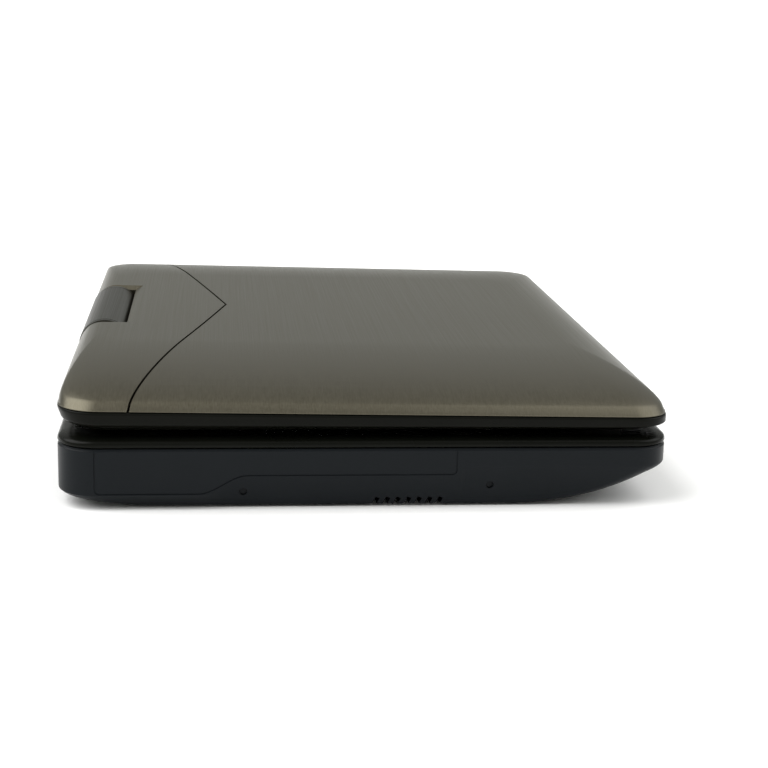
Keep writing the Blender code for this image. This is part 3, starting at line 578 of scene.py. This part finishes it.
def make_lower_case():
    """The hollow hull, with its screw bosses, panel lines, vent slots, recesses and socket holes."""
    top = SEAM_Z - HULL_Z
    rings = [hull_ring(h * MM) for h in HULL_LEVELS]
    rings += [hull_ring(top - down * MM, lip * MM) for down, lip in SEAM_LIP]
    case = loft("lower_case_shell", rings, SATIN)
    combine(case, loft("inside", [cavity_ring(h * MM) for h in CAVITY_LEVELS]))
    for number in range(1, 5):
        low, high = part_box(f"case_screw_{number}")
        centre = (low + high) / 2
        below = (centre.x, centre.y, -1 * MM)
        combine(case, rod("boss", (centre.x, centre.y, HULL_Z + BOSS_FOOT),
                          (centre.x, centre.y, HULL_Z + BOSS_TOP), BOSS_R), "UNION")
        combine(case, rod("well", below, (centre.x, centre.y, HULL_Z + WELL_TOP), WELL_R))
        combine(case, rod("bore", below, (centre.x, centre.y, BORE_TOP), BORE_R))
    for side in (-1, 1):
        combine(case, panel_line(side))
        cut_vents(case, side)
        cut_recesses(case, side)
    cut_sockets(case)
    stand_for(polish(case), "root", "satin_black", "lower_case")


# ---------------------------------------------------------------- deck

def make_upper_case():
    """The deck and its rounded shoulder, with the openings for the door, post and keys."""
    profile = list(SHOULDER_FOOT)
    inset, foot = profile[-1]
    for i in range(1, 13):
        a = math.radians(90 * i / 12)
        profile.append((inset + 4.5 * (1 - math.cos(a)) ** 1.15, foot + (DECK_Z / MM - foot) * math.sin(a)))
    rings = [outline(i * MM, i * MM, i * MM, z * MM) for i, z in reversed(profile)]
    case = loft("upper_case_shell", rings, GLOSS)
    combine(case, loft("inside", [outline(i * MM, i * MM, i * MM, z * MM) for i, z in DECK_INSIDE]))
    margin = 0.4 * MM
    combine(case, rounded_box("opening", (DOOR_LOW.x - margin, DOOR_LOW.y - margin, 15 * MM),
                              (DOOR_HIGH.x + margin, DOOR_HIGH.y + margin, 30 * MM), 2.2 * MM))
    combine(case, rod("hole", (0, HINGE.y, 15 * MM), (0, HINGE.y, 30 * MM), POST_HOLE_R))
    for node in KEY_NODES:
        low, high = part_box(node)
        flange = KEY_FLANGE - GAP
        combine(case, rounded_box("key_hole", (low.x + flange, low.y + flange, 15 * MM),
                                  (high.x - flange, high.y - flange, 30 * MM), 1.0 * MM))
    stand_for(polish(case), "root", "gloss_black", "upper_case")


def make_door():
    """The disc door: softened edges, a fine round groove, a finger recess and the hinge's knuckles."""
    low, high = DOOR_LOW, DOOR_HIGH
    plate_low = Vector((low.x, low.y, DECK_Z - WALL + 0.2 * MM))
    door = rounded_box("door_shell", plate_low, high, 1.8 * MM, GLOSS, edge=0.35 * MM, top_only=True)
    middle = (plate_low + high) / 2
    ring = turned("ring", [(58, 1), (57.6, -0.25), (57.2, 1)], (0, middle.y, high.z), sides=128)
    combine(door, ring)
    combine(door, rounded_box("finger", (-9 * MM, low.y + 2 * MM, high.z - 0.5 * MM),
                              (9 * MM, low.y + 5 * MM, high.z + 1 * MM), 1.4 * MM))
    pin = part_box("door_hinge_pin")
    centre = (pin[0] + pin[1]) / 2
    for side in (-1, 1):
        x = side * KNUCKLE_X
        combine(door, rod("knuckle", (x - KNUCKLE_HALF, centre.y, centre.z),
                          (x + KNUCKLE_HALF, centre.y, centre.z), KNUCKLE_R), "UNION")
        combine(door, box("web", (x - KNUCKLE_HALF, centre.y - 1.6 * MM, centre.z + 1.2 * MM),
                          (x + KNUCKLE_HALF, centre.y + 1.6 * MM, plate_low.z + 0.4 * MM)), "UNION")
    combine(door, rod("bore", (-60 * MM, centre.y, centre.z), (60 * MM, centre.y, centre.z), PIN_HOLE_R,
                      sides=24))
    stand_for(polish(door), "root", "gloss_black", "disc_door")


def oblong(half_x, half_y, y=0.0):
    """The corners of an upright oblong whose middle is at (0, y)."""
    return [(-half_x, y - half_y), (half_x, y - half_y), (half_x, y + half_y), (-half_x, y + half_y)]


def symbol(kind, centre, z):
    """Raised generic marks for a key: a triangle, a square, a dot, three lines or one line."""
    depth = (z - 0.12 * MM, z + 0.05 * MM)
    angles = {"key_right": 0, "key_up": 90, "key_left": 180, "key_down": 270, "key_play": 0}
    if kind in angles:
        size = 1.5 * MM
        turn = math.radians(angles[kind])
        shapes = [[(size * math.cos(turn + math.tau * i / 3), size * math.sin(turn + math.tau * i / 3))
                   for i in range(3)]]
    elif kind == "key_stop":
        shapes = [oblong(1.2 * MM, 1.2 * MM)]
    elif kind == "key_enter":
        shapes = [[(1.1 * MM * math.cos(math.tau * i / 24), 1.1 * MM * math.sin(math.tau * i / 24))
                   for i in range(24)]]
    elif kind == "key_menu":
        shapes = [oblong(2 * MM, 0.2 * MM, y * MM) for y in (-1, 0, 1)]
    else:
        shapes = [oblong(2.4 * MM, 0.25 * MM)]
    return [loft("mark", [[(centre.x + x, centre.y + y, level) for x, y in shape] for level in depth], MARK)
            for shape in shapes]


def make_keys():
    """Rounded key caps with a flange below the deck and a generic mark on top."""
    for node in KEY_NODES:
        low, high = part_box(node)
        centre = (low + high) / 2
        cap_low = Vector((low.x + KEY_FLANGE, low.y + KEY_FLANGE, low.z))
        cap_high = Vector((high.x - KEY_FLANGE, high.y - KEY_FLANGE, high.z))
        rings = [rounded_ring(low, high, 1.2 * MM, 0, z) for z in (low.z, KEY_FLANGE_TOP)]
        soft = 0.4 * MM
        rings.append(rounded_ring(cap_low, cap_high, 0.8 * MM, 0, KEY_FLANGE_TOP))
        for i in range(5):
            t = math.radians(90 * i / 4)
            rings.append(rounded_ring(cap_low, cap_high, 0.8 * MM, soft * (1 - math.cos(t)),
                                      high.z - soft * (1 - math.sin(t))))
        cap = polish(loft(node + "_cap", rings, KEY))
        join(cap, *symbol(node, centre, high.z))
        stand_for(cap, node, "key_grey", node)


def make_bumpers():
    """The two soft rubber domes on the deck."""
    for node in ("deck_bumper_left", "deck_bumper_right"):
        low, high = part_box(node)
        centre = (low + high) / 2
        tall, wide = (high.z - low.z) / MM, (high.x - low.x) / 2 / MM
        profile = [(0, 0), (wide, 0)]
        for i in range(9):
            a = math.radians(90 * i / 8)
            profile.append((wide * math.cos(a) ** 0.6, 0.25 + (tall - 0.25) * math.sin(a)))
        profile[-1] = (0, tall)
        bumper = turned(node + "_dome", profile, (centre.x, centre.y, low.z), surface=RUBBER)
        stand_for(polish(bumper), "root", "rubber_black", node)


# ---------------------------------------------------------------- underside

def make_feet():
    """Round rubber feet with a softened lower edge, cut to the hull above them."""
    for node in ("foot_rear_left", "foot_rear_right", "foot_front_left", "foot_front_right"):
        low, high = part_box(node)
        centre, radius = (low + high) / 2, (high.x - low.x) / 2
        rings = []
        # Each ring's inset in mm, and its share of the foot's height
        for inset, share in ((0.5, 0), (0.18, 0.12), (0.04, 0.3), (0, 0.5), (0, 1)):
            ring = []
            for step in range(64):
                a = math.tau * step / 64
                y = centre.y + (radius - inset * MM) * math.sin(a)
                top = hull_bottom(y) - GAP
                ring.append((centre.x + (radius - inset * MM) * math.cos(a), y, top * share))
            rings.append(ring)
        stand_for(polish(loft(node + "_pad", rings, RUBBER)), "root", "rubber_black", node)


def make_screws():
    """Case screws with a domed head and a cross recess."""
    for number in range(1, 5):
        node = f"case_screw_{number}"
        low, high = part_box(node)
        centre = (low + high) / 2
        profile = [(0, 2.0), (1.6, 2.05), (2.5, 2.3), (2.85, 2.7), (2.9, 3.0), (2.9, 3.8), (1.2, 3.8)]
        for i in range(10):
            z = 4.4 + i * 1.0
            profile += [(1.2, z), (0.95, z + 0.5)]
        profile += [(0.5, 15), (0, 15)]
        screw = turned(node + "_head", profile, (centre.x, centre.y, 0), surface=STEEL, sides=32)
        for turn in (0, 90):
            arm = box("arm", (-1.5 * MM, -0.3 * MM, 0), (1.5 * MM, 0.3 * MM, 3.1 * MM))
            arm.rotation_euler = (0, 0, math.radians(turn + 20 * number))
            arm.location = (centre.x, centre.y, 0)
            combine(screw, arm)
        stand_for(polish(screw), "root", "steel", node)


# ---------------------------------------------------------------- ports

def make_jacks():
    """Round sockets: a flared collar around a bore, with a pin in the power inlet."""
    for node in ("dc_jack", "headphone_jack", "av_jack"):
        low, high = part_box(node)
        centre, r = (low + high) / 2, (high.z - low.z) / 2 / MM
        length, bore = (high.x - low.x) / MM, r * 0.62
        profile = [(r, 0), (r, length - 0.25), (r - 0.25, length), (bore + 0.35, length),
                   (bore, length - 0.35), (bore, 2), (0, 2), (0, 0)]
        jack = turned(node + "_collar", profile, (low.x, centre.y, centre.z), (1, 0, 0), STEEL)
        polish(jack)
        if node == "dc_jack":
            pin = [(0, 1.5), (0.55, 1.5), (0.55, length - 1.2), (0.3, length - 0.8), (0, length - 0.8)]
            join(jack, polish(turned("pin", pin, (low.x, centre.y, centre.z), (1, 0, 0), STEEL, 24)))
        stand_for(jack, "root", "steel", node)


def make_slots():
    """The USB socket with its tongue, and the card slot with its entry chamfer."""
    low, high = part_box("usb_port")
    usb = round_edges(box("usb_shell", low, high, STEEL), 0.3 * MM)
    wall = 0.7 * MM
    combine(usb, box("mouth", (low.x + 1 * MM, low.y + wall, low.z + wall),
                     (high.x + 2 * MM, high.y - wall, high.z - wall)))
    tongue = box("tongue", (low.x + 0.8 * MM, low.y + 1.5 * MM, high.z - 2.6 * MM),
                 (high.x - 0.9 * MM, high.y - 1.5 * MM, high.z - 1.0 * MM), INNER)
    join(usb, round_edges(tongue, 0.15 * MM))
    stand_for(polish(usb), "root", "steel", "usb_port")
    low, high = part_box("card_slot")
    card = box("card_shell", low, high, INNER)
    wall = 0.4 * MM
    combine(card, box("mouth", (low.x + 2 * MM, low.y + 2 * wall, low.z + wall),
                      (high.x + 2 * MM, high.y - 2 * wall, high.z - wall)))
    stand_for(polish(round_edges(card, 0.12 * MM)), "root", "inner_plastic", "card_slot")


def make_switch_and_wheel():
    """The ridged power switch, the knurled volume wheel and the infrared window."""
    low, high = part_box("power_switch")
    switch = round_edges(box("switch_knob", low, high, KEY), 0.25 * MM)
    for i in range(5):
        y = (low.y + high.y) / 2 + (i - 2) * 1.2 * MM
        combine(switch, box("ridge", (high.x - 0.35 * MM, y - 0.25 * MM, low.z - 1 * MM),
                            (high.x + 1 * MM, y + 0.25 * MM, high.z + 1 * MM)))
    stand_for(polish(switch), "power_switch", "key_grey", "power_switch")
    low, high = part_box("volume_wheel")
    centre, radius = (low + high) / 2, (high.y - low.y) / 2
    teeth = 60
    rings = []
    for inset, z in ((0.35, low.z), (0, low.z + 0.35 * MM), (0, high.z - 0.35 * MM), (0.35, high.z)):
        ring = []
        for step in range(teeth * 4):
            dip = 0.22 * MM if step % 4 in (0, 1) else 0.0
            a = math.tau * step / (teeth * 4)
            r = radius - inset * MM - dip
            ring.append((centre.x + r * math.cos(a), centre.y + r * math.sin(a), z))
        rings.append(ring)
    stand_for(polish(loft("wheel_knurl", rings, KEY)), "volume_wheel", "key_grey", "volume_wheel")
    low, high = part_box("ir_window")
    window = round_edges(box("ir_cover", low, high, SMOKED), 0.25 * MM)
    stand_for(polish(window), "root", "smoked_window", "ir_window")


# ---------------------------------------------------------------- lid

def dome_rings(shrink, turns):
    """Outlines of the dome at these turns of its quarter-round side; 0 is its foot and 90 its flat top."""
    rings = []
    for turn in turns:
        angle = math.radians(turn)
        rise, run = math.sin(angle), 1 - math.cos(angle)

        def height(y, rise=rise):
            foot = along_lid(RIM_TOP, y) + GAP
            top = along_lid(LID_TOP, y) - shrink
            return foot + (top - foot) * rise

        margin = shrink + 0.5 * MM
        rings.append(outline(margin + DOME_SIDE * run, margin + DOME_FRONT * run,
                             margin * (1 - run) + (HALF_W - HINGE.y + shrink * 0.4) * run, height))
    return rings


def foot_lip():
    """A narrow ledge around the covers' foot, just proud of the dome."""
    return [outline(out, out, out, lambda y, up=up: along_lid(RIM_TOP, y) + up)
            for out, up in ((0.25 * MM, GAP), (0.25 * MM, GAP + 0.15 * MM), (0.45 * MM, GAP + 0.32 * MM))]


def notch_tool(grow):
    """The space around the hinge barrel at the lid's rear, with its flared upper edge."""
    flared = NOTCH_LIP + NOTCH_FLARE_FRONT
    levels = ((NOTCH_DEPTH, 0, 20 * MM), (NOTCH_DEPTH, 0, HINGE.z + 1.5 * MM), (NOTCH_LIP, 0, NOTCH_LIP_Z),
              (flared, NOTCH_FLARE_SIDE, NOTCH_FLARE_Z), (flared, NOTCH_FLARE_SIDE, 46 * MM))
    rings = []
    for depth, flare, z in levels:
        half = NOTCH_HALF + flare + grow
        y_front, y_rear = HALF_W - depth - grow, HALF_W + 5 * MM
        rings.append([(half, y_front, z), (half, y_rear, z), (-half, y_rear, z), (-half, y_front, z)])
    return loft("notch", rings)


def chevron_tool(to_rear):
    """A block on one side of the chevron joint between the two covers."""
    tip = HALF_W - CHEVRON_TIP + CHEVRON_GAP / 2 * (-1 if to_rear else 1)
    reach = HALF_L + 10 * MM
    edge = HALF_W + 20 * MM if to_rear else -HALF_W - 20 * MM
    arm = [reach * step / 24 for step in range(25)]
    right = [(x, tip + CHEVRON_SLOPE * x + CHEVRON_CURVE * x * x) for x in arm]
    left = [(-x, y) for x, y in reversed(right[1:])]
    ring = right + [(reach, edge), (-reach, edge)] + left
    return loft("chevron", [[(x, y, z) for x, y in ring] for z in (20 * MM, 60 * MM)])


def shaft_hole():
    """The hole that the tilt shaft passes through."""
    return rod("shaft_hole", (-45 * MM, HINGE.y, HINGE.z), (45 * MM, HINGE.y, HINGE.z), SHAFT_HOLE_R,
               sides=32)


def make_covers():
    """The two domed covers of the lid's back."""
    for name, node, front in (("main_cover_shell", "lid_main_cover", True),
                              ("hinge_cover_shell", "lid_rear_cover", False)):
        cover = loft(name, foot_lip() + dome_rings(0, DOME_TURNS), BRONZE)
        combine(cover, notch_tool(0))
        inner = loft("inside", dome_rings(COVER_WALL, DOME_TURNS_INSIDE))
        # Lowered so that it opens the cover's foot
        inner.location.z = -0.5 * MM
        combine(inner, notch_tool(COVER_WALL))
        combine(cover, inner)
        combine(cover, chevron_tool(to_rear=front))
        if not front:
            combine(cover, shaft_hole())
        stand_for(polish(cover), "lid", "bronze_finish", node)


def make_lid_frame():
    """The dark rim around the lid."""
    rings = []
    for share, inset in RIM_LEVELS:
        def height(y, share=share):
            low = along_lid(RIM_LOW, y)
            return low + (along_lid(RIM_TOP, y) - low) * share

        rear = max(rear_round(height(HALF_W)), inset * MM * 0.5)
        rings.append(outline(inset * MM, inset * MM, rear, height))
    rim = loft("lid_rim", rings, RIM)
    combine(rim, notch_tool(0))
    inner = loft("inside", [outline(FRAME_WALL, FRAME_WALL, FRAME_WALL, z * MM) for z in (20, 45)])
    combine(inner, notch_tool(COVER_WALL))
    combine(rim, inner)
    combine(rim, shaft_hole())
    stand_for(polish(rim), "lid", "rim_black", "lid_frame")


def make_screen():
    """The bezel with its bevelled window, and the display glass behind it."""
    z0, z1, z2 = BEZEL_LOW.z, BEZEL_LOW.z + 1.1 * MM, BEZEL_HIGH.z
    low, high = FRAME_WALL + 1.8 * MM, FRAME_WALL + 0.4 * MM
    soft = low - 0.5 * MM
    rings = [outline(inset, inset, inset, z)
             for inset, z in ((low, z0), (soft, z0 + 0.15 * MM), (high, z1), (high, z2))]
    bezel = loft("bezel_shell", rings, GLOSS)
    combine(bezel, notch_tool(COVER_WALL + GAP))
    middle = (PANEL_LOW.y + PANEL_HIGH.y) / 2
    half_x, half_y = WINDOW_HALF
    window = []
    for grow, z in ((1.4, z0 - 1 * MM), (1.4, z0 - 0.01 * MM), (0, z0 + 1.2 * MM), (0, z2 + 1 * MM)):
        spread_by = Vector((half_x + grow * MM, half_y + grow * MM, 0))
        centre = Vector((0, middle, 0))
        window.append(rounded_ring(centre - spread_by, centre + spread_by, 1.2 * MM + grow * MM, 0, z))
    combine(bezel, loft("window", window))
    stand_for(polish(bezel), "lid", "gloss_black", "lid_bezel")
    glass = rounded_box("display_glass", PANEL_LOW, PANEL_HIGH, 1 * MM, SCREEN, edge=0.3 * MM)
    stand_for(polish(glass), "lid", "screen_glass", "display_panel")


def make_barrel():
    """The hinge barrel, in the lid's bronze darkened as painted shade, with softened ends and a fine groove near
    each, bored for shaft and post.
    """
    r, bore, half, soft = BARREL_R / MM, 6.5, BARREL_HALF / MM, 0.6
    profile = [(r - soft, half), (r - 0.18, half - 0.18), (r, half - soft), (r, half - 2.2),
               (r - 0.22, half - 2.3), (r - 0.22, half - 2.6), (r, half - 2.7)]
    profile += [(radius, -x) for radius, x in reversed(profile)]
    profile += [(bore, -half), (bore, half)]
    barrel = turned("barrel_shell", profile, HINGE, (1, 0, 0), SHADE_DARKENED_BRONZE, 96)
    combine(barrel, rod("post_hole", (0, HINGE.y, 20 * MM), (0, HINGE.y, HINGE.z), POST_HOLE_R))
    stand_for(polish(barrel), "hinge_hub", "bronze_finish", "hinge_barrel")


# ---------------------------------------------------------------- carried-over nodes

def dress_nodes():
    """Gives every CAD node its material; the finer pieces then take the place of some of them."""
    looks = {"bronze_finish": BRONZE, "rim_black": RIM, "gloss_black": GLOSS, "satin_black": SATIN,
             "key_grey": KEY, "rubber_black": RUBBER, "steel": STEEL, "board_green": BOARD,
             "battery_wrap": WRAP, "screen_glass": SCREEN, "inner_plastic": INNER, "lens_glass": LENS,
             "smoked_window": SMOKED}
    for part in frame["record"]["subparts"]:
        node = frame["nodes"][part["node"]]
        node.data.materials.clear()
        node.data.materials.append(looks[part["material_slot"]])


# ---------------------------------------------------------------- stage, light, camera

def make_stage():
    """A plain pale floor that rises a little far behind the player, above the horizon."""
    paper, tree, shader = material("pale_floor", (0.96, 0.96, 0.96), 0.9, 0.0, 0.1)
    tree.links.new(ramp(tree, grain(tree, (1, 1, 1), 1.5), (0.955, 0.955, 0.955), (0.97, 0.97, 0.97)),
                   shader.inputs["Base Color"])
    builder = bmesh.new()
    rows = [[builder.verts.new((x, y, z)) for y in (-FLOOR_HALF, FLOOR_HALF)] for x, z in FLOOR_RISE]
    for near, far in zip(rows, rows[1:]):
        builder.faces.new((near[0], far[0], far[1], near[1]))
    new_object("floor", builder, paper)


def make_sky():
    """A soft studio sky, a little dimmer at the horizon than overhead."""
    world = bpy.data.worlds.new("studio")
    bpy.context.scene.world = world
    world.use_nodes = True
    tree = world.node_tree
    sky = tree.nodes["Background"]
    place = tree.nodes.new("ShaderNodeTexCoord")
    split = tree.nodes.new("ShaderNodeSeparateXYZ")
    tree.links.new(place.outputs["Generated"], split.inputs["Vector"])
    colour = ramp(tree, split.outputs["Z"], (0.48, 0.49, 0.465), (0.68, 0.68, 0.66), 0.25, 0.95)
    tree.links.new(colour, sky.inputs["Color"])
    sky.inputs["Strength"].default_value = 1.0


def make_light():
    """Two very wide soft lights; the stronger one stands over the player's rear."""
    for name, lean, energy in LIGHTS:
        sun = bpy.data.lights.new(name, "SUN")
        sun.energy = energy
        sun.angle = LIGHT_SPREAD
        holder = bpy.data.objects.new(name, sun)
        holder.rotation_euler = (math.radians(-lean), 0, 0)
        bpy.context.scene.collection.objects.link(holder)


def make_camera():
    """The camera: to the player's left, a little above the lid, with a long lens."""
    yaw, pitch, roll = CAMERA_YAW, CAMERA_PITCH, CAMERA_ROLL
    ahead = Vector((math.cos(yaw), -math.sin(yaw), 0))
    right = Vector((-math.sin(yaw), -math.cos(yaw), 0))
    up = Vector((0, 0, 1))
    look = ahead * math.cos(pitch) - up * math.sin(pitch)
    rise = up * math.cos(pitch) + ahead * math.sin(pitch)
    side = right * math.cos(roll) - rise * math.sin(roll)
    rise = rise * math.cos(roll) + right * math.sin(roll)
    data = bpy.data.cameras.new("camera")
    data.sensor_width = CAMERA_SENSOR
    data.lens = CAMERA_LENS
    data.clip_start = 0.01
    data.clip_end = 200
    holder = bpy.data.objects.new("camera", data)
    turn = Matrix((side, rise, -look)).transposed()
    holder.matrix_world = Matrix.Translation(CAMERA_PLACE) @ turn.to_4x4()
    bpy.context.scene.collection.objects.link(holder)
    bpy.context.scene.camera = holder
    bpy.context.scene.view_settings.view_transform = "Standard"


dress_nodes()
make_lower_case()
make_upper_case()
make_door()
make_keys()
make_bumpers()
make_feet()
make_screws()
make_jacks()
make_slots()
make_switch_and_wheel()
make_covers()
make_lid_frame()
make_screen()
make_barrel()
make_stage()
make_sky()
make_light()
make_camera()
